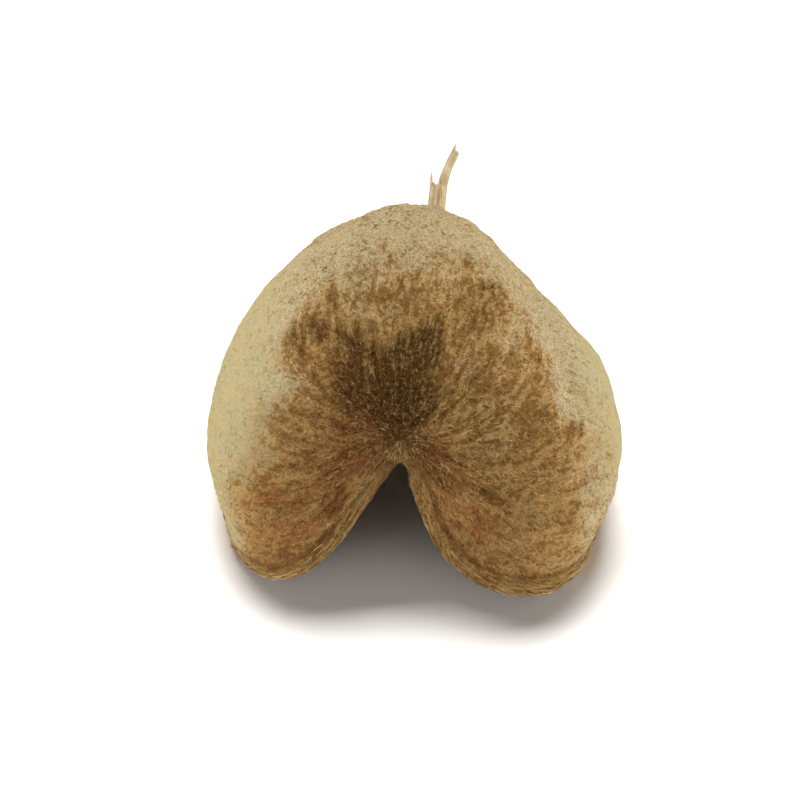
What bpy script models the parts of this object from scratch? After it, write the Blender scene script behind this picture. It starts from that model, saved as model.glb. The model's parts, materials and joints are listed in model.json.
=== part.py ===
"""A dried buddha nut: one woody, heart-shaped pod that has split along its seam, with its torn stalk.

The pod lies open side down. It is one bowed shell, drawn as lengthwise lines that run from the apex, where
the seam's two rims meet in a notch at the front, over the dome to the stalk at the back. Metres, +Z up, the
front towards -Y. The origin is on the ground under the middle of the pod and its stalk.
"""

import math

import bmesh
import bpy
from mathutils import Vector, noise
from mathutils.geometry import intersect_point_line

MM = 0.001

# Driving dimensions of the shell, in millimetres
WALL = 4.6
SMOOTHING_LEVELS = 3
RIM_CREASE = 0.35
INNER_FACES_KEPT = 0.62
GROUND = -0.6

# Each lengthwise line of the shell, from the apex to the stalk, as (x, y, z) in millimetres
LEFT_RIM = (
    (-0.8, -19, 28.5), (-12, -24, 22), (-23, -38, 6.5), (-47, -33, -2),
    (-54, 16, -3), (-28, 50, 4), (5, 68, 28),
)
LEFT_SIDE = (
    (-1, -18.5, 31), (-14, -27.5, 31), (-36, -38, 29), (-58.5, -17, 29),
    (-61, 22, 28), (-34, 57, 30), (3, 70, 32),
)
LEFT_SHOULDER = (
    (-1.1, -17.6, 32.8), (-9, -24, 42), (-26, -29, 55), (-38, -10, 67),
    (-34, 32, 67), (-15, 64, 52), (5, 70, 35.5),
)
CREST = (
    (0, -17.2, 33.6), (0, -22, 45), (0, -20, 60), (0, 5, 75),
    (2, 38, 76), (9, 64, 58), (9, 70, 37),
)
RIGHT_SHOULDER = (
    (1.1, -17.6, 32.8), (9, -25, 42), (28, -32, 54), (41, -11, 64),
    (31.5, 29, 60), (22, 62, 50), (12.5, 70, 35.5),
)
RIGHT_SIDE = (
    (1.2, -18.5, 31), (11, -29, 31), (41, -45.5, 28), (67.5, -17, 32),
    (67, 19, 30), (35, 55, 28), (14, 70, 32),
)
RIGHT_RIM = (
    (0.8, -19, 28.5), (4.3, -26, 22), (15, -41, 7), (52, -42, -2),
    (60, 16, -3), (36, 50, 4), (12, 68, 28),
)
LENGTHWISE_LINES = (LEFT_RIM, LEFT_SIDE, LEFT_SHOULDER, CREST, RIGHT_SHOULDER, RIGHT_SIDE, RIGHT_RIM)

# Relief of the outer surface, in millimetres: a furrow down the right shoulder with a swelling beyond it,
# a thickened lip along the rims, and wrinkles that run lengthwise
APEX = (0, -18, 32)
FURROW = ((36, 38, 48), (39, 26, 52), (41, 10, 54), (43, 0, 54), (47, -9, 49))
FURROW_DEPTH = 2.8
FURROW_WIDTH = 5.4
SWELLING = ((54, 18, 38), (56, 4, 40), (58, -10, 36))
SWELLING_HEIGHT = 2.4
SWELLING_WIDTH = 8
LIP_HEIGHT = 0.7
LIP_ACROSS = 0.22
CREASE_DEPTH = 0.6
CREASE_ACROSS = 0.36
WRINKLE_HEIGHT = 1.3
WRINKLES_ACROSS = 2.6
WRINKLES_ALONG = 0.45

# The torn stalk, in millimetres: its collar is part of the shell, its stub and splinters are dry fibre
STALK_FOOT = (9.5, 67.5, 37)
STALK_DIRECTION = (0.12, 0.76, 0.62)
COLLAR_RADII = (4.8, 3.4)
COLLAR_SINK = 3
COLLAR_LENGTH = 7
PIECE_GAP = 0.3
STUB = ((0, 0, 0, 2.9), (0, 0, 5, 2.7), (0.2, 0, 10, 2.4), (0.4, 0, 13, 1.6))
SPLINTER = ((-0.8, 0, 5, 1.5), (-1, 0.2, 12, 1.5), (-2.2, 0.4, 17, 1.35), (-4, 0.2, 22.5, 0.7))
SPIKE = ((1.2, 0, 6, 1.5), (1.8, 0, 10.5, 1.0), (2, 0, 13.6, 0.35))

HUSK_COLOUR = (0.29, 0.2, 0.12, 1)
STALK_COLOUR = (0.55, 0.4, 0.22, 1)


def clear_scene():
    for thing in list(bpy.data.objects):
        bpy.data.objects.remove(thing)


def new_collection(name):
    collection = bpy.data.collections.new(name)
    bpy.context.scene.collection.children.link(collection)
    return collection


def new_material(name, colour, roughness):
    material = bpy.data.materials.new(name)
    material.use_nodes = True
    surface = material.node_tree.nodes["Principled BSDF"]
    surface.inputs["Base Color"].default_value = colour
    surface.inputs["Roughness"].default_value = roughness
    surface.inputs["Metallic"].default_value = 0
    return material


def apply_modifiers(thing):
    """Gives the object the mesh that its modifiers make, and drops the modifiers."""
    depsgraph = bpy.context.evaluated_depsgraph_get()
    mesh = bpy.data.meshes.new_from_object(thing.evaluated_get(depsgraph))
    thing.modifiers.clear()
    thing.data = mesh


def object_from_bmesh(name, shape, collection):
    mesh = bpy.data.meshes.new(name)
    shape.to_mesh(mesh)
    shape.free()
    thing = bpy.data.objects.new(name, mesh)
    collection.objects.link(thing)
    return thing


def sheet_from_lines(lines):
    """A coarse sheet whose columns are the lengthwise lines; each corner keeps its place across and along."""
    columns = len(lines) - 1
    rows = len(lines[0]) - 1
    sheet = bmesh.new()
    bmesh.ops.create_grid(sheet, x_segments=columns, y_segments=rows, size=1)
    across = sheet.verts.layers.float.new("across")
    along = sheet.verts.layers.float.new("along")
    for corner in sheet.verts:
        column = round((corner.co.x + 1) / 2 * columns)
        row = round((corner.co.y + 1) / 2 * rows)
        corner[across] = column
        corner[along] = row
        corner.co = Vector(lines[column][row]) * MM
    return sheet


def distance_to_path(point, path):
    """Distance in millimetres from a point to a path of straight pieces."""
    nearest = math.inf
    for start, end in zip(path, path[1:]):
        start = Vector(start)
        end = Vector(end)
        foot, share = intersect_point_line(point, start, end)
        foot = start.lerp(end, min(1, max(0, share)))
        nearest = min(nearest, (point - foot).length)
    return nearest


def bump(distance, width):
    return math.exp(-(distance / width) ** 2)


def relief(point, across, along):
    """Height of the outer surface over its smooth form, in millimetres."""
    from_rim = min(across, len(LENGTHWISE_LINES) - 1 - across)
    from_ends = min(along, len(CREST) - 1 - along)
    open_field = min(1, (point - Vector(APEX)).length / 16) * min(1, from_ends)
    height = -FURROW_DEPTH * bump(distance_to_path(point, FURROW), FURROW_WIDTH)
    height += SWELLING_HEIGHT * bump(distance_to_path(point, SWELLING), SWELLING_WIDTH)
    height += LIP_HEIGHT * open_field * bump(from_rim, LIP_ACROSS)
    height -= CREASE_DEPTH * open_field * bump(from_rim - CREASE_ACROSS, LIP_ACROSS / 2)
    wrinkle = noise.noise(Vector((across * WRINKLES_ACROSS, along * WRINKLES_ALONG, 3.7)))
    return height + WRINKLE_HEIGHT * wrinkle * open_field


def raise_relief(thing):
    """Moves the outer surface out or in along its normals; the inside stays smooth."""
    mesh = thing.data
    across = mesh.attributes["across"].data
    along = mesh.attributes["along"].data
    inside = thing.vertex_groups["inside"].index
    moves = []
    for corner in mesh.vertices:
        depth = sum(entry.weight for entry in corner.groups if entry.group == inside)
        height = relief(corner.co / MM, across[corner.index].value, along[corner.index].value)
        moves.append(corner.normal * height * MM * (1 - min(1, depth)))
    for corner, move in zip(mesh.vertices, moves):
        corner.co += move


def make_collar(cutters):
    """The shell's own short neck under the stalk, a cone that is sunk into the wall."""
    shape = bmesh.new()
    bmesh.ops.create_cone(
        shape, cap_ends=True, segments=24, radius1=COLLAR_RADII[0] * MM, radius2=COLLAR_RADII[1] * MM,
        depth=COLLAR_LENGTH * MM,
    )
    bmesh.ops.translate(shape, verts=shape.verts, vec=(0, 0, (COLLAR_LENGTH / 2 - COLLAR_SINK) * MM))
    collar = object_from_bmesh("collar", shape, cutters)
    collar.location = Vector(STALK_FOOT) * MM
    collar.rotation_euler = Vector(STALK_DIRECTION).to_track_quat("Z", "Y").to_euler()
    return collar


def make_ground(cutters):
    """A block whose top trims the lowest stretch of both rims to flat spots."""
    shape = bmesh.new()
    bmesh.ops.create_cube(shape, size=0.3)
    bmesh.ops.translate(shape, verts=shape.verts, vec=(0, 0, GROUND * MM - 0.15))
    return object_from_bmesh("ground", shape, cutters)


def add_boolean(thing, other, operation):
    step = thing.modifiers.new(other.name, "BOOLEAN")
    step.operation = operation
    step.object = other
    step.solver = "EXACT"
    other.hide_render = True
    other.display_type = "WIRE"
    return step


def make_husk(collection, cutters):
    husk = object_from_bmesh("husk", sheet_from_lines(LENGTHWISE_LINES), collection)
    husk.vertex_groups.new(name="inside")
    wall = husk.modifiers.new("wall", "SOLIDIFY")
    wall.thickness = WALL * MM
    wall.offset = -1
    wall.shell_vertex_group = "inside"
    wall.edge_crease_outer = RIM_CREASE
    wall.edge_crease_inner = RIM_CREASE
    smoothing = husk.modifiers.new("smoothing", "SUBSURF")
    smoothing.levels = SMOOTHING_LEVELS
    smoothing.render_levels = SMOOTHING_LEVELS
    apply_modifiers(husk)
    raise_relief(husk)
    fewer = husk.modifiers.new("fewer inner faces", "DECIMATE")
    fewer.ratio = INNER_FACES_KEPT
    fewer.vertex_group = "inside"
    add_boolean(husk, make_collar(cutters), "UNION")
    add_boolean(husk, make_ground(cutters), "DIFFERENCE")
    husk.data.materials.append(new_material("husk", HUSK_COLOUR, 0.85))
    return husk


def strand(name, points, collection):
    """A tapering length of stalk along (x, y, z, radius) points, made a closed mesh."""
    curve = bpy.data.curves.new(name, "CURVE")
    curve.dimensions = "3D"
    curve.bevel_depth = MM
    curve.bevel_resolution = 2
    curve.use_fill_caps = True
    line = curve.splines.new("POLY")
    line.points.add(len(points) - 1)
    for knot, (x, y, z, radius) in zip(line.points, points):
        knot.co = (x * MM, y * MM, z * MM, 1)
        knot.radius = radius
    guide = bpy.data.objects.new(name, curve)
    collection.objects.link(guide)
    depsgraph = bpy.context.evaluated_depsgraph_get()
    mesh = bpy.data.meshes.new_from_object(guide.evaluated_get(depsgraph))
    bpy.data.objects.remove(guide)
    shape = bmesh.new()
    shape.from_mesh(mesh)
    bmesh.ops.remove_doubles(shape, verts=shape.verts, dist=0.00001)
    return object_from_bmesh(name, shape, collection)


def make_stalk(collection, cutters):
    stalk = strand("stalk", STUB, collection)
    direction = Vector(STALK_DIRECTION).normalized()
    foot = Vector(STALK_FOOT) + direction * (COLLAR_LENGTH - COLLAR_SINK + PIECE_GAP)
    stalk.location = foot * MM
    stalk.rotation_euler = direction.to_track_quat("Z", "Y").to_euler()
    for name, points in (("splinter", SPLINTER), ("spike", SPIKE)):
        piece = strand(name, points, cutters)
        piece.location = stalk.location
        piece.rotation_euler = stalk.rotation_euler
        add_boolean(stalk, piece, "UNION")
    stalk.data.materials.append(new_material("stalk", STALK_COLOUR, 0.75))
    return stalk


def set_on_ground(parts, guides):
    """Puts the origin on the ground under the middle of the parts."""
    depsgraph = bpy.context.evaluated_depsgraph_get()
    corners = []
    for part in parts:
        finished = part.evaluated_get(depsgraph)
        corners += [finished.matrix_world @ corner.co for corner in finished.data.vertices]
    low = [min(corner[axis] for corner in corners) for axis in range(3)]
    high = [max(corner[axis] for corner in corners) for axis in range(3)]
    shift = Vector(((low[0] + high[0]) / 2, (low[1] + high[1]) / 2, low[2]))
    for thing in parts + guides:
        thing.location -= shift


def main():
    clear_scene()
    collection = new_collection("buddha_nut")
    cutters = new_collection("buddha_nut_cutters")
    make_husk(collection, cutters)
    make_stalk(collection, cutters)
    set_on_ground(list(collection.objects), list(cutters.objects))


main()
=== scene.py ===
import json
import math
import random

import bmesh
import bpy
import numpy as np
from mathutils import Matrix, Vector, kdtree, noise

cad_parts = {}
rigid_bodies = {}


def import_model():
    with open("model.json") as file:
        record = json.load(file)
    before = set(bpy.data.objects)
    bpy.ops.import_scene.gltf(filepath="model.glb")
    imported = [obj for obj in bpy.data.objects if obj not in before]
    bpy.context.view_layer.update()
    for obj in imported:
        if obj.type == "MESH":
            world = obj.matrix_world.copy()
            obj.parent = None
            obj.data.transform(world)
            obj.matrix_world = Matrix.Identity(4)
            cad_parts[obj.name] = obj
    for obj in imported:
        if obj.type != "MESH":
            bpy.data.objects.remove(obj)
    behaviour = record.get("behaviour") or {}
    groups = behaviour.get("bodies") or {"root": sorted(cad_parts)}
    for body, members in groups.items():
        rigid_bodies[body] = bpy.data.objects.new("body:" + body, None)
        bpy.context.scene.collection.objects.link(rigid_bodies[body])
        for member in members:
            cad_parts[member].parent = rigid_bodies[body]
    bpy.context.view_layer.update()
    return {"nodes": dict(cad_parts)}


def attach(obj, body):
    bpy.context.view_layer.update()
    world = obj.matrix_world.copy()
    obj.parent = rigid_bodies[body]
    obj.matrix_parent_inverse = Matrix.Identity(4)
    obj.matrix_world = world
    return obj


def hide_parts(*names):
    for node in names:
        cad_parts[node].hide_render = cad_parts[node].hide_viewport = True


for leftover in list(bpy.data.objects):
    bpy.data.objects.remove(leftover)

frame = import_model()

MM = 0.001

# Places on the pod, in metres: the notch between the lobes, where the stalk leaves, points inside the hollow
APEX = np.array((-3, -41.8, 32.8)) * MM
NOTCH_TIP = np.array((-4.2, -43, 36.5)) * MM
NOTCH_PINCH = 3.2 * MM
PINCH_SHARE = 0.6
NOTCH_LEFT = np.array((-6.5, -44, 30)) * MM
NOTCH_LEFT_WIDTH = 5 * MM
NOTCH_LEFT_MOVE = 1.9 * MM
STALK_FOOT = np.array((6.5, 43.6, 37.6)) * MM
STALK_DIRECTION = (0.12, 0.76, 0.62)
STALK_START = Vector((7.03, 46.87, 40.3)) * MM
HOLLOW = np.array((
    (-27, -33, 20), (-16, -22, 34), (0, -8, 38), (18, -22, 34), (29, -36, 20), (4, 12, 38), (6, 34, 34),
)) * MM

# The spot just above the notch from which the velvet's fibres and streaks spread
STAR = np.array((-3.4, -46, 50)) * MM

# The small pale knot of fibres at the notch's tip
KNOT = np.array((-3.6, -45.8, 47)) * MM
KNOT_RADIUS = 3.4 * MM

# Stains on the velvet: place and radius in millimetres, how dark, how red
STAINS = (
    ((-4.5, -46, 52), 4, 1.0, 0.0),
    ((-4, -45, 54.5), 4.5, 1.7, 0.0),
    ((-2.5, -42, 59.5), 5, 1.6, 0.0),
    ((-1.5, -38, 62.5), 5, 1.3, 0.0),
    ((-2, -33, 65.5), 4.5, 0.9, 0.0),
    ((-2.3, -28.5, 67.5), 4.5, 0.6, 0.0),
    ((2.8, -32.3, 66), 4, 1.1, 0.0),
    ((4.3, -27, 68), 4, 1.2, 0.0),
    ((6, -21.5, 68.5), 3.5, 0.4, 0.0),
    ((4, -41, 60.5), 5, 0.6, 0.1),
    ((-8.5, -44.5, 56.5), 5, 1.2, 0.0),
    ((-11.5, -42, 60), 6, 1.3, 0.0),
    ((-15, -39, 62.5), 6.5, 1.2, 0.1),
    ((-14.5, -33.5, 65.5), 5.5, 1.1, 0.0),
    ((-15.5, -29, 66.8), 4.5, 0.9, 0.0),
    ((-16.5, -24.5, 68.2), 3.5, 0.5, 0.0),
    ((-8, -37, 63.5), 6, 0.7, 0.0),
    ((-28.3, -22, 66.5), 5, 0.45, 0.0),
    ((-30, -28, 64.5), 4.5, 0.35, 0.0),
    ((-24, -26.2, 67.4), 5, 0.35, 0.0),
    ((-20.5, -17, 69.5), 5, 0.45, 0.0),
    ((-23, -9, 69.5), 4, 0.2, 0.0),
    ((-3.5, -14.5, 71), 6, 0.4, 0.0),
    ((-20, -33.5, 65), 7, 0.0, 0.5),
    ((-15.5, -46.5, 54), 6, 0.3, 0.8),
    ((-13, -47.2, 50.5), 6, 0.4, 0.7),
    ((-9, -46.5, 46), 4, 0.7, 0.3),
    ((2.5, -47.5, 46), 4, 0.8, 0.2),
    ((-15, -48.3, 48), 4.5, 0.9, 0.3),
    ((-18, -50, 43.5), 6.5, 0.4, 1.2),
    ((-8.8, -45.4, 38), 5, 0.8, 0.5),
    ((-24, -49, 48), 6, 0.2, 0.5),
    ((-21.5, -52, 40), 6, 0.4, 0.8),
    ((-22, -53, 32), 6, 0.7, 0.7),
    ((-34, -53, 30), 8, 0.2, 0.8),
    ((-36, -52, 14), 8, 0.6, 0.6),
    ((4, -48, 51), 8, 0.3, 0.3),
    ((3.1, -46.6, 38.3), 5, 0.7, 0.5),
    ((4.5, -48.5, 44), 5, 0.7, 0.3),
    ((8, -50, 46), 6, 0.5, 0.5),
    ((10, -51.6, 38.9), 5, 0.5, 0.4),
    ((20.8, -57.1, 39.3), 6, 0.4, 0.0),
    ((12.8, -55.3, 31.5), 8, 0.0, 0.7),
    ((22, -58, 36), 6, 0.1, 0.8),
    ((14.9, -57.3, 24), 8, 0.3, 0.5),
    ((24, -60, 18), 13, 0.0, 0.28),
    ((28, -51, 50), 9, 0.0, 0.15),
    ((-30, -57, 21), 11, 0.0, 0.35),
    ((-36, -53, 33), 10, 0.0, 0.2),
    ((-27, -45, 52), 9, 0.1, 0.25),
    ((-25, -23, 67), 8, 0.0, 0.1),
    ((15.5, -19, 67), 7, 0.35, 0.0),
    ((18, -9, 66.5), 7, 0.5, 0.0),
    ((23.2, -6.7, 63.7), 5, 0.3, 0.0),
    ((12, 1, 68), 5, 0.3, 0.0),
    ((20, -34, 63), 5, 0.1, 0.0),
    ((29, -41, 57), 6, 0.15, 0.0),
    ((32.2, -26.6, 59.3), 5, 0.35, 0.0),
    ((35, -41.5, 53), 6, 0.3, 0.0),
    ((42, -40, 46), 5, 0.55, 0.0),
)

# Where the velvet is browner or paler than its turn to the front gives: place, radius, how much browner
BROWN_PATCHES = (
    ((-3.5, -14.5, 71), 8, 0.25),
    ((16, -16, 67), 12, 0.35),
    ((12.6, 1.7, 67), 9, 0.12),
    ((20.8, 2.3, 63.4), 8, 0.15),
    ((34, -26, 57.5), 7, 0.45),
    ((-37, -34, 58), 7, -0.5),
    ((-28, -38, 61), 6, -0.3),
    ((-34, -17, 64.4), 6, -0.4),
    ((46, -25, 47), 7, -0.5),
    ((49.6, -48, 31), 9, -0.5),
    ((44, -50, 20), 8, -0.3),
    ((30, -59, 20), 8, -0.2),
)

# Sizes of the finest grain of the skin and of the stalk, and of the tufts that the fibres' shades come in
SKIN_GRAIN = 0.85 * MM
STRAW_GRAIN = 0.16 * MM
TUFT = 0.9 * MM

# The lip along the cut edge, the crease beside it, and how many edge points show which way the edge runs
LIP_WIDTH = 6.5 * MM
CREASE_WIDTH = 1.1 * MM
EDGE_POINTS = 24

# How far the skin stays above the floor
FLOOR_GAP = 0.05 * MM

# The smooth, pale swelling of the right lobe.
# Then how far to the left the smooth left side starts, near the floor and high up, in millimetres
SWELLING = ((51, -2, 39), (53, -20, 41), (55, -34, 37))
SWELLING_RADIUS = 13 * MM
LEFT_SIDE_LOW = 38
LEFT_SIDE_HIGH = 26


# ---- small helpers


def new_object(name, mesh):
    thing = bpy.data.objects.new(name, mesh)
    bpy.context.scene.collection.objects.link(thing)
    return thing


def settle(thing):
    """Gives a piece the mesh that its modifiers make."""
    depsgraph = bpy.context.evaluated_depsgraph_get()
    mesh = bpy.data.meshes.new_from_object(thing.evaluated_get(depsgraph))
    thing.modifiers.clear()
    thing.data = mesh


def read_points(mesh, what):
    values = np.empty(len(mesh.vertices) * 3)
    mesh.vertices.foreach_get(what, values)
    return values.reshape(-1, 3)


def move_points(mesh, places):
    mesh.vertices.foreach_set("co", places.ravel())
    mesh.update()


def keep_field(mesh, name, values):
    """Writes a number or a direction for each point of the mesh, for materials and strands to read."""
    numbers = values.ndim == 1
    field = mesh.attributes.new(name, "FLOAT" if numbers else "FLOAT_VECTOR", "POINT")
    field.data.foreach_set("value" if numbers else "vector", values.astype(np.float32).ravel())


def unit(vectors):
    return vectors / (np.linalg.norm(vectors, axis=-1, keepdims=True) + 1e-12)


def ease(low, high, values):
    share = np.clip((values - low) / (high - low), 0, 1)
    return share * share * (3 - 2 * share)


def spot(places, middle, radius, sharp=1.0):
    """1 in the middle of a soft round spot, falling to 0 outside it."""
    return np.exp(-sharp * (np.linalg.norm(places - middle, axis=1) / radius) ** 2)


def cloud(places, size, seed, octaves=3):
    """Soft noise from about -1 to 1 at each place, with lumps of about this size."""
    offset = Vector((seed * 7.31, seed * 3.17, seed * 5.23))
    return np.array([
        noise.fractal(Vector(place) / size + offset, 0.6, 2.1, octaves) for place in places
    ])


# ---- colours and finishes

PALE_VELVET = (0.335, 0.28, 0.166, 1)
TAN_VELVET = (0.36, 0.221, 0.083, 1)
DEEP_TAN = (0.13, 0.061, 0.0135, 1)
BROWN_VELVET = (0.04, 0.018, 0.004, 1)
RED_VELVET = (0.23, 0.075, 0.025, 1)
SIDE_PALE = (0.275, 0.24, 0.128, 1)
SPECK = (0.11, 0.055, 0.013, 1)
LIP_FIBRE = (0.36, 0.215, 0.08, 1)
INNER_WOOD = (0.16, 0.09, 0.04, 1)
INNER_WOOD_DARK = (0.08, 0.042, 0.018, 1)
FIBRE_LIGHT = (0.68, 0.47, 0.20, 1)
STRAW = (0.34, 0.265, 0.145, 1)
STRAW_PALE = (0.43, 0.365, 0.24, 1)
STRAW_SHADE = (0.25, 0.13, 0.045, 1)
FLOOR_WHITE = (0.95, 0.925, 0.89, 1)


class Finish:
    """A material with a Principled surface, and short ways to add the nodes of its pattern."""

    def __init__(self, name):
        self.material = bpy.data.materials.new(name)
        self.material.use_nodes = True
        self.tree = self.material.node_tree
        self.surface = self.tree.nodes["Principled BSDF"]

    def add(self, kind, **settings):
        node = self.tree.nodes.new(kind)
        for name, value in settings.items():
            setattr(node, name, value)
        return node

    def feed(self, socket, value):
        if isinstance(value, bpy.types.NodeSocket):
            self.tree.links.new(value, socket)
        else:
            socket.default_value = value

    def place(self, stretch=(1, 1, 1)):
        """The point's place on the piece, in metres."""
        mapping = self.add("ShaderNodeMapping")
        self.feed(mapping.inputs["Vector"], self.add("ShaderNodeTexCoord").outputs["Object"])
        mapping.inputs["Scale"].default_value = stretch
        return mapping.outputs["Vector"]

    def field(self, name):
        return self.add("ShaderNodeAttribute", attribute_name=name).outputs["Fac"]

    def grain(self, size, detail=3.0, rough=0.55, warp=0.0, stretch=(1, 1, 1), along=None):
        """Noise from 0 to 1 with lumps of this size, in metres, or drawn out along the streaks."""
        noise_node = self.add("ShaderNodeTexNoise")
        if along is None:
            self.feed(noise_node.inputs["Vector"], self.place(stretch))
        else:
            streaks = self.add("ShaderNodeAttribute", attribute_name=along)
            self.feed(noise_node.inputs["Vector"], streaks.outputs["Vector"])
        noise_node.inputs["Scale"].default_value = 1 / size
        noise_node.inputs["Detail"].default_value = detail
        noise_node.inputs["Roughness"].default_value = rough
        noise_node.inputs["Distortion"].default_value = warp
        return noise_node.outputs["Fac"]

    def band(self, value, low, high):
        """0 below low, 1 above high, and smooth between."""
        ramp = self.add("ShaderNodeMapRange", interpolation_type="SMOOTHSTEP")
        self.feed(ramp.inputs["Value"], value)
        ramp.inputs["From Min"].default_value = low
        ramp.inputs["From Max"].default_value = high
        return ramp.outputs["Result"]

    def reckon(self, operation, a, b=0.0, c=0.0):
        sum_node = self.add("ShaderNodeMath", operation=operation)
        for socket, value in zip(sum_node.inputs, (a, b, c)):
            self.feed(socket, value)
        return sum_node.outputs[0]

    def sway(self, value, pattern, depth):
        """The value, raised and lowered by a pattern that runs from 0 to 1."""
        return self.reckon("MULTIPLY_ADD", self.reckon("SUBTRACT", pattern, 0.5), depth, value)

    def mix(self, share, under, over):
        """One colour laid over another, by a share from 0 to 1."""
        blend_node = self.add("ShaderNodeMix", data_type="RGBA")
        sockets = (blend_node.inputs[0], blend_node.inputs[6], blend_node.inputs[7])
        for socket, value in zip(sockets, (share, under, over)):
            self.feed(socket, value)
        return blend_node.outputs[2]

    def bump(self, height, depth, strength=1.0):
        bump_node = self.add("ShaderNodeBump")
        self.feed(bump_node.inputs["Height"], height)
        bump_node.inputs["Distance"].default_value = depth
        bump_node.inputs["Strength"].default_value = strength
        self.feed(self.surface.inputs["Normal"], bump_node.outputs["Normal"])

    def finish(self, colour, roughness):
        self.feed(self.surface.inputs["Base Color"], colour)
        self.surface.inputs["Roughness"].default_value = roughness
        self.surface.inputs["Specular IOR Level"].default_value = 0.0
        return self.material


def velvet_colour(velvet):
    """The mottled colour of the outside: pale on the sides, tan in front, stained dark over the notch, with
    painted shade in the hollows between the tufts and in the crease beside the lip.
    """
    mottle = velvet.grain(5.5 * MM, 5, 0.62, 0.4)
    patches = velvet.grain(14 * MM, 3)
    fine = velvet.grain(1.5 * MM, 5, 0.75, 0.6)
    rays = velvet.grain(1.1 * MM, 4, 0.65, 0.3, along="streaks")
    brown = velvet.field("brown")
    for pattern, depth in ((mottle, 1.4), (patches, 0.7), (fine, 1.7), (rays, 0.9)):
        brown = velvet.sway(brown, pattern, depth)
    brown = velvet.reckon("MULTIPLY_ADD", velvet.field("smooth_side"), -0.8, brown)
    brown = velvet.reckon("MULTIPLY_ADD", velvet.field("dark"), 1.5, brown)
    pale = velvet.mix(velvet.field("smooth_side"), PALE_VELVET, SIDE_PALE)
    colour = velvet.mix(velvet.band(brown, -0.15, 1.0), pale, TAN_VELVET)

    # Deeper tan streaks between the tufts, a little more on brown parts that face upward: partly the velvet's
    # own darker tone, partly painted shade in the hollows between the tufts
    grooves = velvet.grain(1.4 * MM, 3, 0.6, 0.5, along="streaks")
    deep = velvet.sway(grooves, fine, 0.9)
    deep = velvet.reckon("MULTIPLY_ADD", velvet.field("top_brown"), 0.09, deep)
    deep = velvet.band(velvet.sway(deep, mottle, 0.4), 0.47, 0.64)
    deep = velvet.reckon("MULTIPLY", deep, velvet.band(brown, -0.1, 0.8))
    colour = velvet.mix(velvet.reckon("MULTIPLY", deep, 0.82), colour, DEEP_TAN)

    # Small brown specks in loose groups, and a finer grit, both fainter on the smooth sides
    specks = velvet.band(velvet.grain(1.4 * MM, 4, 0.75, 0.8), 0.53, 0.62)
    sparse = velvet.band(velvet.grain(8 * MM, 3), 0.36, 0.62)
    rough_side = velvet.reckon("MULTIPLY_ADD", velvet.field("smooth_side"), -0.8, 1.0)
    sparse = velvet.reckon("MULTIPLY_ADD", velvet.reckon("MULTIPLY", sparse, rough_side), 0.95, 0.12)
    colour = velvet.mix(velvet.reckon("MULTIPLY", specks, sparse), colour, SPECK)
    grit = velvet.band(velvet.grain(0.6 * MM, 2, 0.7, 0.5), 0.48, 0.66)
    grit_share = velvet.reckon("MULTIPLY_ADD", velvet.field("smooth_side"), -0.5, 0.6)
    colour = velvet.mix(velvet.reckon("MULTIPLY", grit, grit_share), colour, DEEP_TAN)

    # The stains, frayed along the streaks, then painted shade in the crease beside the lip, and the red
    # stains
    ragged = velvet.reckon("MULTIPLY_ADD", mottle, 1.2, -1.6)
    ragged = velvet.reckon("MULTIPLY_ADD", rays, 4.2, ragged)
    dark = velvet.reckon("MULTIPLY", velvet.field("dark"), ragged)
    colour = velvet.mix(velvet.band(dark, 0.1, 0.95), colour, BROWN_VELVET)
    # Painted shade: the crease beside the lip is darkened with the dark brown of the stains
    colour = velvet.mix(velvet.reckon("MULTIPLY", velvet.field("crease"), 0.75), colour, BROWN_VELVET)
    red = velvet.reckon("MULTIPLY", velvet.field("red"), velvet.band(mottle, 0.3, 0.6))
    return velvet.mix(velvet.reckon("MULTIPLY", red, 0.75), colour, RED_VELVET)


def lip_colour(velvet):
    """Pale and dark lines that run along the cut edge."""
    lines = velvet.band(velvet.grain(1.0 * MM, 4, 0.7, 0.3, along="rim_lines"), 0.4, 0.52)
    return velvet.mix(velvet.reckon("MULTIPLY", lines, 0.9), LIP_FIBRE, DEEP_TAN)


def skin_finish():
    """The skin: velvet outside, lines along the lip, and dull streaked wood inside."""
    velvet = Finish("velvet_husk")
    colour = velvet_colour(velvet)
    # The ground under the fibres is darker tan on the brown parts: partly its own colour, partly painted
    # shade beneath the fibres
    under = velvet.reckon("MULTIPLY", velvet.band(velvet.field("brown"), 0.4, 0.9), 0.22)
    colour = velvet.mix(under, colour, DEEP_TAN)
    side_lines = velvet.band(velvet.grain(1.6 * MM, 4, 0.6, 0.2, along="streaks"), 0.42, 0.62)
    side_share = velvet.reckon("MULTIPLY", velvet.field("smooth_side"), 0.32)
    colour = velvet.mix(velvet.reckon("MULTIPLY", side_lines, side_share), colour, TAN_VELVET)
    lip_share = velvet.reckon("MULTIPLY_ADD", velvet.field("dark"), -0.7, 0.9)
    lip = velvet.reckon("MULTIPLY", velvet.field("lip"), lip_share)
    colour = velvet.mix(lip, colour, lip_colour(velvet))
    wood_streaks = velvet.grain(2.4 * MM, 4, 0.6, 0.2, (1, 0.22, 1))
    wood = velvet.mix(velvet.band(wood_streaks, 0.35, 0.7), INNER_WOOD, INNER_WOOD_DARK)
    colour = velvet.mix(velvet.band(velvet.field("outer"), 0.25, 0.6), wood, colour)
    velvet.bump(velvet.grain(0.5 * MM, 3, 0.7), 0.25 * MM, 0.7)
    return velvet.finish(colour, 0.95)


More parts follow.
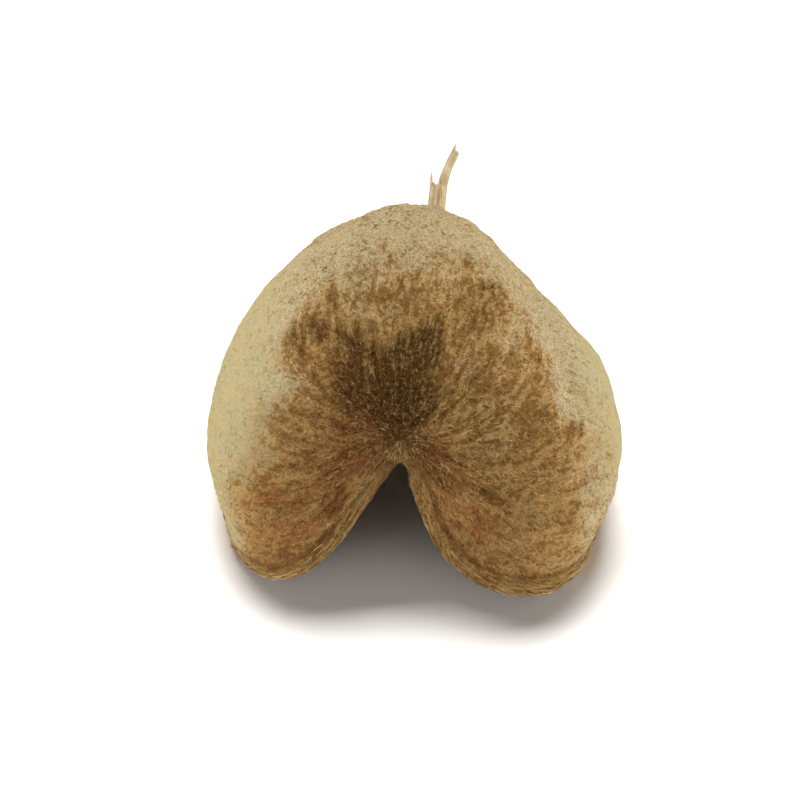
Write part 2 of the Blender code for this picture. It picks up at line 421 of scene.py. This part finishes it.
def strand_finish(name, lightness, calm=0.45, lip=0.0):
    """Velvet fibres: the ground colour of where they grow, some darker and some nearer to pale thread."""
    strand = Finish(name)
    shade = strand.field("shade")
    lip_share = strand.reckon("MULTIPLY_ADD", strand.field("dark"), -0.7 * lip, lip)
    ground = strand.mix(lip_share, velvet_colour(strand), lip_colour(strand))
    ground = strand.mix(strand.reckon("MULTIPLY", strand.band(shade, 0.45, 0.0), 0.8), ground, DEEP_TAN)
    lift = strand.reckon("MULTIPLY", strand.band(shade, 0.4, 1.0), lightness)
    calmer = strand.reckon("MULTIPLY_ADD", strand.field("dark"), -calm, 1.0)
    colour = strand.mix(strand.reckon("MULTIPLY", lift, calmer), ground, FIBRE_LIGHT)
    return strand.finish(colour, 0.85)


def straw_finish():
    """Dry stalk: pale straw with orange-brown lines down the middle of the stub."""
    straw = Finish("stalk_straw")
    lines = straw.grain(0.75 * MM, 4, 0.6, 0.2, along="straw_lines")
    blotch = straw.grain(3 * MM, 3)
    colour = straw.mix(straw.band(blotch, 0.35, 0.7), STRAW, STRAW_PALE)
    brown = straw.reckon("MULTIPLY", straw.band(lines, 0.44, 0.66), straw.field("stub"))
    colour = straw.mix(straw.reckon("MULTIPLY", brown, 0.85), colour, STRAW_SHADE)
    straw.bump(lines, 0.3 * MM, 0.8)
    return straw.finish(colour, 0.75)


def floor_finish():
    paper = Finish("floor_paper")
    return paper.finish(FLOOR_WHITE, 0.9)


# ---- the husk's skin


def skin_mesh():
    """A fine, even copy of the shell, on which the relief is raised and the velvet stands."""
    shape = bmesh.new()
    shape.from_mesh(frame["nodes"]["husk"].data)
    bmesh.ops.remove_doubles(shape, verts=shape.verts, dist=0.00001)
    mesh = bpy.data.meshes.new("husk_skin")
    shape.to_mesh(mesh)
    shape.free()
    skin = new_object("husk_skin", mesh)
    fine = skin.modifiers.new("fine", "REMESH")
    fine.mode = "VOXEL"
    fine.voxel_size = SKIN_GRAIN
    settle(skin)
    calm = skin.modifiers.new("calm", "SMOOTH")
    calm.factor = 0.5
    calm.iterations = 8
    settle(skin)
    return skin


def outer_share(places, normals):
    """1 on the outside of the shell, 0 on its inside, and between them on the rims."""
    gaps = places[:, None, :] - HOLLOW[None, :, :]
    nearest = np.linalg.norm(gaps, axis=2).argmin(axis=1)
    away = unit(gaps[np.arange(len(places)), nearest])
    return ease(-0.12, 0.28, (away * normals).sum(axis=1))


def find_rim(places, outer):
    """A quick search over the cut edge that runs round both rims."""
    edge = np.flatnonzero((outer > 0.25) & (outer < 0.6))
    tree = kdtree.KDTree(len(edge))
    for index in edge:
        tree.insert(places[index], index)
    tree.balance()
    return tree


def from_rim(places, edge_tree):
    """How far each point is from the cut edge."""
    return np.array([edge_tree.find(place)[2] for place in places])


def rim_direction(places, edge_tree, wanted):
    """The way the cut edge runs beside each of the wanted points, and zero for the others."""
    runs = np.zeros(places.shape)
    chosen = np.flatnonzero(wanted)
    near = np.array([
        [found[0] for found in edge_tree.find_n(places[index], EDGE_POINTS)] for index in chosen
    ])
    near -= near.mean(axis=1, keepdims=True)
    runs[chosen] = np.linalg.eigh(np.einsum("nki,nkj->nij", near, near))[1][:, :, 2]
    return runs


def path_distance(places, path):
    """Distance from each point to a path of straight pieces given in millimetres."""
    nearest = np.full(len(places), np.inf)
    corners = np.array(path) * MM
    for start, end in zip(corners, corners[1:]):
        way = end - start
        share = np.clip((places - start) @ way / (way @ way), 0, 1)
        nearest = np.minimum(nearest, np.linalg.norm(places - start - share[:, None] * way, axis=1))
    return nearest


def lengthwise(places):
    """The angle of each point round the line from the star to the stalk, and its share of the way along."""
    axis = unit(STALK_FOOT - STAR)
    side = unit(np.cross(axis, (0, 0, 1)))
    up = np.cross(side, axis)
    from_star = places - STAR
    turn = np.arctan2(from_star @ side, from_star @ up)
    return turn, from_star @ axis / np.linalg.norm(STALK_FOOT - STAR)


def open_notch(mesh):
    """Pinches the notch to a point at its tip, opens it to the left below, and gives the new places."""
    places = read_points(mesh, "co")
    places[:, 0] += (NOTCH_TIP[0] - places[:, 0]) * (PINCH_SHARE * spot(places, NOTCH_TIP, NOTCH_PINCH))
    places[:, 0] -= NOTCH_LEFT_MOVE * spot(places, NOTCH_LEFT, NOTCH_LEFT_WIDTH)
    move_points(mesh, places)
    return places


def relief(places, outer, rim, lip, smooth_side, streaks):
    """(height, crease): how far each point is raised, in millimetres, and the crease beside the lip."""
    turn, along = lengthwise(places)
    from_star = np.linalg.norm(places - STAR, axis=1)
    open_field = ease(2 * MM, 14 * MM, np.linalg.norm(places - APEX, axis=1))
    wrinkles = cloud(np.stack((turn * 7, along * 1.6, from_star * 12), axis=1), 0.5, 3)
    lumps = cloud(places, 9 * MM, 5)
    pores = cloud(places, 2.2 * MM, 8)
    fibres = cloud(np.stack((turn * 3, from_star * 20, rim * 900), axis=1), 1.0, 11)
    grooves = cloud(streaks, 2.4 * MM, 17, 4)
    height = 0.32 * wrinkles * open_field + 0.30 * lumps + (0.24 * pores + 0.3 * grooves) * (1 - smooth_side)
    height = height * (1 - 0.6 * lip) + 0.28 * fibres * lip
    crease = np.exp(-((rim - LIP_WIDTH * 1.1) / CREASE_WIDTH) ** 2) * open_field * outer
    height -= 0.5 * crease
    return height * outer + 0.12 * lumps * (1 - outer), crease


def stained(places, streaks):
    """(dark, red): how strongly each point is stained, frayed along the streaks."""
    dark = np.zeros(len(places))
    red = np.zeros(len(places))
    ragged = 1 + 0.4 * cloud(places, 7 * MM, 33, 4) + 0.9 * cloud(streaks, 2.2 * MM, 37, 3)
    for place, radius, how_dark, how_red in STAINS:
        reach = spot(places, np.array(place) * MM, radius * MM, 1.2)
        dark += reach * how_dark * ragged
        red += reach * how_red * ragged
    return dark, red


def dress_skin(skin):
    """Raises the fine relief, and writes the fields that colours and strands follow."""
    mesh = skin.data
    places = open_notch(mesh)
    normals = read_points(mesh, "normal")
    outer = outer_share(places, normals)
    edge_tree = find_rim(places, outer)
    rim = from_rim(places, edge_tree)
    turn = lengthwise(places)[0]
    from_star = np.linalg.norm(places - STAR, axis=1)
    lip = (1 - ease(0.55, 1.15, rim / LIP_WIDTH)) * outer
    lip *= ease(1 * MM, 12 * MM, np.linalg.norm(places - APEX, axis=1))
    smooth_side = np.exp(-(path_distance(places, SWELLING) / SWELLING_RADIUS) ** 2)
    higher = ease(25 * MM, 55 * MM, places[:, 2])
    left_start = (LEFT_SIDE_LOW - (LEFT_SIDE_LOW - LEFT_SIDE_HIGH) * higher) * MM
    smooth_side = np.maximum(smooth_side, 0.85 * ease(0, 18 * MM, -places[:, 0] - left_start))
    smooth_side *= outer
    streaks = np.stack((turn * 22 * MM, from_star * 0.24, np.zeros(len(places))), axis=1)
    height, crease = relief(places, outer, rim, lip, smooth_side, streaks)
    raised = places + normals * height[:, None] * MM
    raised[:, 2] = np.maximum(raised[:, 2], FLOOR_GAP)
    move_points(mesh, raised)

    # The lie of the velvet: away from the star, and on the lip along the cut edge
    out = unit(places - STAR)
    lie = unit(out - normals * (out * normals).sum(axis=1, keepdims=True))
    rim_lie = unit(rim_direction(places, edge_tree, lip > 0) + lie * 1e-7)
    rim_lie *= np.where((rim_lie * lie).sum(axis=1) < 0, -1, 1)[:, None]

    # Brown where the skin turns to the front, with its patches
    front = normals @ unit(np.array((0.0, -0.88, 0.47)))
    brown = ease(0.15, 0.95, front + 0.12 * cloud(places, 16 * MM, 21))
    for place, radius, browner in BROWN_PATCHES:
        brown += browner * spot(places, np.array(place) * MM, radius * MM)
    brown = np.clip(brown, -0.3, 1.1) * outer
    dark, red = stained(places, streaks)

    full = outer * (1 - 0.85 * smooth_side) * ease(0.3 * MM, 5 * MM, places[:, 2])
    full *= 1 - 0.8 * crease
    felt = full * (1 - 0.7 * lip) * (0.35 + 0.65 * brown) * ease(3 * MM, 9 * MM, places[:, 2])
    fields = {
        "outer": outer,
        "lip": lip,
        "brown": brown,
        "top_brown": brown * ease(0.45, 0.9, normals[:, 2]),
        "dark": (1 - np.exp(-1.1 * np.clip(dark, 0, None))) * outer,
        "red": np.clip(red, 0, 1) * outer,
        "smooth_side": smooth_side,
        "crease": crease,
        "streaks": streaks,
        "rim_lines": np.stack((rim, from_star * 0.12, np.zeros(len(places))), axis=1),
        "lie": lie,
        "rim_lie": rim_lie,
        "felt": felt,
        "bristle": full * (0.4 + 0.6 * np.clip(brown + dark, 0, 1)),
        "fan": full * ease(0.3, 1.0, dark),
        "rim_felt": lip * ease(0.5, 0.9, outer) * ease(0.6 * MM, 3 * MM, places[:, 2]),
        "knot": outer * spot(places, KNOT, KNOT_RADIUS),
    }
    for name, values in fields.items():
        keep_field(mesh, name, values)


skin = skin_mesh()
dress_skin(skin)
skin.data.materials.clear()
skin.data.materials.append(skin_finish())
skin.data.shade_smooth()
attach(skin, "root")
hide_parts("husk")


# ---- the velvet

# Fields that the strands' finishes don't read, so that grown strands don't keep them
FIELDS_FOR_GROWTH = ("lie", "rim_lie", "felt", "bristle", "fan", "rim_felt", "knot", "lip")


def strand_shape(name, length, width, arch, segments, material):
    """One three-sided fibre along +Z from just under the skin, arching towards +X, with a fine tip."""

    def arch_at(share):
        return arch * length * 4 * share * (1 - share)

    shape = bmesh.new()
    ring = bmesh.ops.create_circle(shape, cap_ends=False, segments=3, radius=width / 2)["verts"]
    edges = list({edge for corner in ring for edge in corner.link_edges})
    for step in range(1, segments + 1):
        grown = bmesh.ops.extrude_edge_only(shape, edges=edges)["geom"]
        ring = [part for part in grown if isinstance(part, bmesh.types.BMVert)]
        edges = [
            part for part in grown
            if isinstance(part, bmesh.types.BMEdge) and all(corner in ring for corner in part.verts)
        ]
        bend = arch_at(step / segments) - arch_at((step - 1) / segments)
        bmesh.ops.translate(shape, verts=ring, vec=(bend, 0, length / segments))
        centre = sum((corner.co for corner in ring), Vector()) / 3
        slimmer = 0.78 if step < segments else 0.001
        for corner in ring:
            corner.co = centre + (corner.co - centre) * slimmer
    bmesh.ops.remove_doubles(shape, verts=shape.verts, dist=width / 60)
    bmesh.ops.translate(shape, verts=shape.verts, vec=(0, 0, -0.06 * length))
    bmesh.ops.recalc_face_normals(shape, faces=shape.faces)
    mesh = bpy.data.meshes.new(name)
    shape.to_mesh(mesh)
    shape.free()
    mesh.materials.append(material)
    strand = new_object(name, mesh)
    strand.hide_render = True
    return strand


class Scatter:
    """Sets copies of a strand all over the skin and makes them one real mesh."""

    def __init__(self, name):
        self.tree = bpy.data.node_groups.new(name, "GeometryNodeTree")
        self.tree.interface.new_socket("Geometry", in_out="INPUT", socket_type="NodeSocketGeometry")
        self.tree.interface.new_socket("Geometry", in_out="OUTPUT", socket_type="NodeSocketGeometry")

    def add(self, kind, feeds=(), **settings):
        node = self.tree.nodes.new(kind)
        for name, value in settings.items():
            setattr(node, name, value)
        for socket, value in feeds:
            if isinstance(value, bpy.types.NodeSocket):
                self.tree.links.new(value, node.inputs[socket])
            else:
                node.inputs[socket].default_value = value
        return node

    def chance(self, low, high, seed):
        """A random number for each strand, or a random direction where the limits are directions."""
        number = isinstance(low, float)
        node = self.add("FunctionNodeRandomValue", data_type="FLOAT" if number else "FLOAT_VECTOR")
        first = 2 if number else 0
        node.inputs[first].default_value = low
        node.inputs[first + 1].default_value = high
        node.inputs["Seed"].default_value = seed
        return node.outputs[1 if number else 0]

    def vector(self, operation, *feeds):
        return self.add("ShaderNodeVectorMath", feeds, operation=operation).outputs[0]


def strand_headings(tree, normal, way, lean, stray, rise, roll, seed):
    """Turns each strand: along the lie, some way off it, partly upright, and rolled over."""
    lie = tree.add("GeometryNodeInputNamedAttribute", [("Name", way)], data_type="FLOAT_VECTOR").outputs[0]
    flat = tree.vector("SCALE", (0, lie), ("Scale", lean))
    wander = tree.chance((-stray, -stray, -stray), (stray, stray, stray), seed + 1)
    ahead = tree.vector("ADD", (0, flat), (1, tree.vector("CROSS_PRODUCT", (0, wander), (1, normal))))
    raised = tree.vector("SCALE", (0, normal), ("Scale", tree.chance(rise[0], rise[1], seed + 5)))
    heading = tree.vector("ADD", (0, ahead), (1, raised))
    along = tree.add("FunctionNodeAlignRotationToVector", [("Vector", heading)], axis="Z").outputs[0]
    upright = tree.add(
        "FunctionNodeAlignRotationToVector", [("Rotation", along), ("Vector", normal)],
        axis="X", pivot_axis="Z",
    ).outputs[0]
    angle = tree.chance(-roll, roll, seed + 2)
    turn = tree.add("FunctionNodeAxisAngleToRotation", [("Axis", (0, 0, 1)), ("Angle", angle)]).outputs[0]
    return tree.add(
        "FunctionNodeRotateRotation", [("Rotation", upright), ("Rotate By", turn)], rotation_space="LOCAL",
    ).outputs[0]


def grow(name, strand, count, field, lean, stray, rise, roll, sizes, seed, way="lie"):
    """Grows strands, count to the square metre where the field is 1.

    lean is how strongly they follow the lie of the velvet, stray how far they wander off it, rise how far
    some stand up, roll how far they turn over, and sizes the shortest and the longest.
    """
    tree = Scatter(name)
    start = tree.add("NodeGroupInput").outputs[0]
    where = tree.add("GeometryNodeInputNamedAttribute", [("Name", field)], data_type="FLOAT").outputs[0]
    thick = tree.add("ShaderNodeMath", [(0, where), (1, float(count))], operation="MULTIPLY").outputs[0]
    points = tree.add(
        "GeometryNodeDistributePointsOnFaces", [("Mesh", start), ("Density", thick), ("Seed", seed)],
    )
    headings = strand_headings(tree, points.outputs["Normal"], way, lean, stray, rise, roll, seed)
    seedling = tree.add("GeometryNodeObjectInfo", [("Object", strand)]).outputs["Geometry"]
    strands = tree.add("GeometryNodeInstanceOnPoints", [
        ("Points", points.outputs["Points"]), ("Instance", seedling),
        ("Rotation", headings), ("Scale", tree.chance(sizes[0], sizes[1], seed + 3)),
    ]).outputs[0]
    tuft = tree.add(
        "ShaderNodeTexNoise", [("Scale", 1 / TUFT), ("Detail", 2.0), ("Roughness", 0.6)],
    ).outputs[0]
    spread = tree.chance(-1.0, -0.4, seed + 4)
    shade = tree.add(
        "ShaderNodeMath", [(0, tuft), (1, 2.4), (2, spread)], operation="MULTIPLY_ADD",
    ).outputs[0]
    shaded = tree.add(
        "GeometryNodeStoreNamedAttribute", [("Geometry", strands), ("Name", "shade"), ("Value", shade)],
        data_type="FLOAT", domain="INSTANCE",
    ).outputs[0]
    real = tree.add("GeometryNodeRealizeInstances", [("Geometry", shaded)]).outputs[0]
    tree.add("NodeGroupOutput", [(0, real)])

    coat = new_object(name, skin.data.copy())
    growth = coat.modifiers.new("growth", "NODES")
    growth.node_group = tree.tree
    settle(coat)
    for field_name in FIELDS_FOR_GROWTH:
        old = coat.data.attributes.get(field_name)
        if old is not None:
            coat.data.attributes.remove(old)
    coat.data.materials.clear()
    coat.data.materials.append(strand.data.materials[0])
    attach(coat, "root")


bristle_finish = strand_finish("velvet_bristle", 0.6)
fan_finish = strand_finish("velvet_fan", 0.8, 0.1)
fibre_finish = strand_finish("velvet_fibre", 0.8, 0.75)
rim_finish = strand_finish("velvet_rim", 0.95, 0.2, 0.9)
knot_finish = strand_finish("velvet_knot", 1.0, 0.2, 0.6)
bristle = strand_shape("bristle_shape", 0.55 * MM, 0.10 * MM, 0.0, 1, bristle_finish)
fibre = strand_shape("fibre_shape", 1.4 * MM, 0.09 * MM, 0.13, 2, fibre_finish)
fan_bristle = strand_shape("fan_bristle_shape", 0.7 * MM, 0.14 * MM, 0.0, 1, fan_finish)
knot_fibre = strand_shape("knot_fibre_shape", 2.2 * MM, 0.14 * MM, 0.2, 3, knot_finish)
rim_fibre = strand_shape("rim_fibre_shape", 3.6 * MM, 0.2 * MM, 0.05, 3, rim_finish)
grow("bristles_short", bristle, 4.6e6, "bristle", 1.4, 0.7, (0.5, 1.4), 3.1, (0.5, 1.1), 11)
grow("bristles_fan", fan_bristle, 9.0e6, "fan", 1.6, 0.8, (0.8, 1.6), 3.1, (0.5, 1.2), 87)
grow("bristles_long", bristle, 3.2e6, "bristle", 1.9, 0.9, (0.4, 1.1), 3.1, (0.9, 1.5), 23)
grow("fibres_fine", fibre, 1.75e6, "felt", 2.6, 1.5, (0.2, 0.8), 1.0, (0.35, 0.75), 41)
grow("fibres_soft", fibre, 1.3e6, "felt", 2.6, 2.2, (0.1, 0.8), 1.0, (0.5, 0.9), 49)
grow("fibres_curly", fibre, 0.45e6, "felt", 2.4, 3.4, (0.1, 0.8), 1.2, (0.9, 1.5), 57)
grow("rim_fibres", rim_fibre, 1.15e6, "rim_felt", 7.0, 0.8, (0.1, 0.55), 0.8, (0.4, 1.2), 71, "rim_lie")
grow("knot_fibres", knot_fibre, 9.0e6, "knot", 1.6, 1.6, (0.3, 1.0), 1.2, (0.6, 1.3), 93)
for pattern in (bristle, fan_bristle, fibre, rim_fibre, knot_fibre):
    bpy.data.objects.remove(pattern)


# ---- the torn stalk

# Places in the stalk's own frame, in millimetres: along it, then how far its middle leans to the image's left
STUB_LEAN = ((0, 0.0), (6, 0.1), (13.5, 0.4))
SPLINTER_LEAN = ((0, 0.0), (8, -0.75), (12.5, -1.25), (16, -2.1), (19, -3.3), (23, -4.5))
STUB_RADIUS = 2.7
STUB_FIBRES = 26
STUB_CORE_FIBRES = 14
SPIKE_RISE = 3.0
SPIKE_EDGE = 0.86
SPLINTER_RADIUS = 1.4
SPLINTER_END = 21.6
SPLINTER_FIBRES = 16
SPLINTER_CORE_FIBRES = 4
STRAW_STEPS = 16


def curve_mesh(curve):
    """The mesh of a curve with its thickness."""
    guide = new_object("stalk_guide", curve)
    depsgraph = bpy.context.evaluated_depsgraph_get()
    mesh = bpy.data.meshes.new_from_object(guide.evaluated_get(depsgraph))
    bpy.data.objects.remove(guide)
    return mesh


def lean_at(path, along):
    return np.interp(along, [place for place, _ in path], [lean for _, lean in path])


def straw_strand(curve, angle, spread, end, path, width, thickness):
    """One dry fibre from the stalk's foot to its torn end."""
    line = curve.splines.new("POLY")
    line.points.add(STRAW_STEPS)
    for step, knot in enumerate(line.points):
        along = end * step / STRAW_STEPS - 0.2
        narrow = spread * (1 - 0.16 * along / 13)
        reach = min(1, max(0, (along - 4) / 7))
        around = (narrow * (1 - reach) + width * reach) * math.cos(angle)
        above = (narrow * (1 - reach) + min(width, spread) * reach) * math.sin(angle)
        wave = noise.noise(Vector((angle * 2.3, along * 0.22, spread)))
        knot.co = ((lean_at(path, along) + around + 0.16 * wave) * MM, above * MM, along * MM, 1)
        knot.radius = thickness * (1 - 0.75 * max(0, (along - end + 3.2) / 3.2) ** 1.5)


def draw_straw(curve):
    """Draws the fibres: a ragged stub, a small spike on its left and one long torn splinter."""
    draw = random.Random(5)
    for turn in range(STUB_FIBRES):
        angle = turn / STUB_FIBRES * math.tau + draw.uniform(-0.1, 0.1)
        end = draw.uniform(9.8, 11.6)
        end += SPIKE_RISE * max(0, math.cos(angle) - SPIKE_EDGE) / (1 - SPIKE_EDGE)
        straw_strand(curve, angle, STUB_RADIUS - 0.3, end, STUB_LEAN, STUB_RADIUS - 0.4, 0.5)
    for turn in range(STUB_CORE_FIBRES):
        spread = draw.uniform(0.3, 1.6)
        end = draw.uniform(9, 10.8)
        straw_strand(curve, turn * 2.4, spread, end, STUB_LEAN, draw.uniform(0.4, 1.6), 0.6)
    for turn in range(SPLINTER_FIBRES):
        angle = turn / SPLINTER_FIBRES * math.tau + draw.uniform(-0.15, 0.15)
        end = SPLINTER_END + 1.4 * math.cos(angle) + draw.uniform(-0.5, 0.3)
        if turn % 5 == 3:
            end -= draw.uniform(5, 8)
        straw_strand(curve, angle, 1.1, end, SPLINTER_LEAN, SPLINTER_RADIUS - 0.3, 0.44)
    for turn in range(SPLINTER_CORE_FIBRES):
        straw_strand(curve, turn * 1.6, 0.4, draw.uniform(19, 21), SPLINTER_LEAN, 0.35, 0.55)


def stalk_piece():
    """The stalk, as a bundle of dry fibres fused into one torn piece."""
    curve = bpy.data.curves.new("stalk_fibres", "CURVE")
    curve.dimensions = "3D"
    curve.bevel_depth = MM
    curve.bevel_resolution = 1
    curve.use_fill_caps = True
    draw_straw(curve)
    stalk = new_object("stalk_straw", curve_mesh(curve))
    fuse = stalk.modifiers.new("fuse", "REMESH")
    fuse.mode = "VOXEL"
    fuse.voxel_size = STRAW_GRAIN
    calm = stalk.modifiers.new("calm", "SMOOTH")
    calm.factor = 0.5
    calm.iterations = 2
    settle(stalk)
    mesh = stalk.data
    places = read_points(mesh, "co")
    lean = lean_at(STUB_LEAN, places[:, 2] / MM) * MM
    around = np.arctan2(places[:, 1], places[:, 0] - lean)
    lines = np.stack((around * 2.2 * MM, places[:, 2] * 0.07, places[:, 0] * 0.6), axis=1)
    keep_field(mesh, "straw_lines", lines)
    middle = np.exp(-((places[:, 0] / MM + 0.2) / 1.7) ** 2)
    keep_field(mesh, "stub", middle * (1 - 0.75 * ease(8.5 * MM, 12 * MM, places[:, 2])))
    turned = Vector(STALK_DIRECTION).to_track_quat("Z", "Y").to_matrix()
    move_points(mesh, places @ np.array(turned).T + np.array(STALK_START))
    return stalk


stalk = stalk_piece()
stalk.data.materials.clear()
stalk.data.materials.append(straw_finish())
stalk.data.shade_smooth()
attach(stalk, "root")
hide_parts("stalk")


# ---- floor, light and camera


def make_stage():
    shape = bmesh.new()
    bmesh.ops.create_grid(shape, x_segments=1, y_segments=1, size=FLOOR_REACH)
    mesh = bpy.data.meshes.new("floor")
    shape.to_mesh(mesh)
    shape.free()
    floor = new_object("floor", mesh)
    mesh.materials.append(floor_finish())


def area_light(name, place, wide, deep, power):
    data = bpy.data.lights.new(name, "AREA")
    data.shape = "RECTANGLE"
    data.size = wide
    data.size_y = deep
    data.energy = power
    light = new_object(name, data)
    light.location = place
    light.rotation_euler = (LIT_POINT - Vector(place)).to_track_quat("-Z", "Y").to_euler()


def make_sky():
    world = bpy.data.worlds.new("world")
    world.use_nodes = True
    sky = world.node_tree.nodes["Background"]
    sky.inputs["Color"].default_value = (1, 1, 1, 1)
    sky.inputs["Strength"].default_value = SKY_STRENGTH
    bpy.context.scene.world = world


def make_camera():
    data = bpy.data.cameras.new("camera")
    data.sensor_width = 36
    data.lens = LENS
    camera = new_object("camera", data)
    tilt = math.radians(CAMERA_TILT)
    camera.location = VIEWED_POINT + Vector((0, -math.cos(tilt), math.sin(tilt))) * CAMERA_AWAY
    camera.rotation_euler = (math.radians(90 - CAMERA_TILT), 0, 0)
    bpy.context.scene.camera = camera


# The floor, what the lights and the camera are turned to, and the camera, in metres, degrees and a lens in mm
FLOOR_REACH = 3
LIT_POINT = Vector((0, 0, 0.03))
SKY_STRENGTH = 0.125
VIEWED_POINT = Vector((-3.56, -11.93, 25.6)) * MM
CAMERA_TILT = 50
CAMERA_AWAY = 0.45
LENS = 71.55

# Lights: name, place, how wide, how deep, how strong
LIGHTS = (
    ("window", (-0.08, 0.80, 1.80), 1.1, 0.6, 66),
    ("left_low", (-0.60, -0.27, 0.036), 0.3, 0.07, 4.8),
    ("right_low", (0.60, -0.27, 0.036), 0.3, 0.07, 5.2),
)

make_stage()
make_camera()
for light_row in LIGHTS:
    area_light(*light_row)
make_sky()
bpy.context.scene.view_settings.view_transform = "Standard"
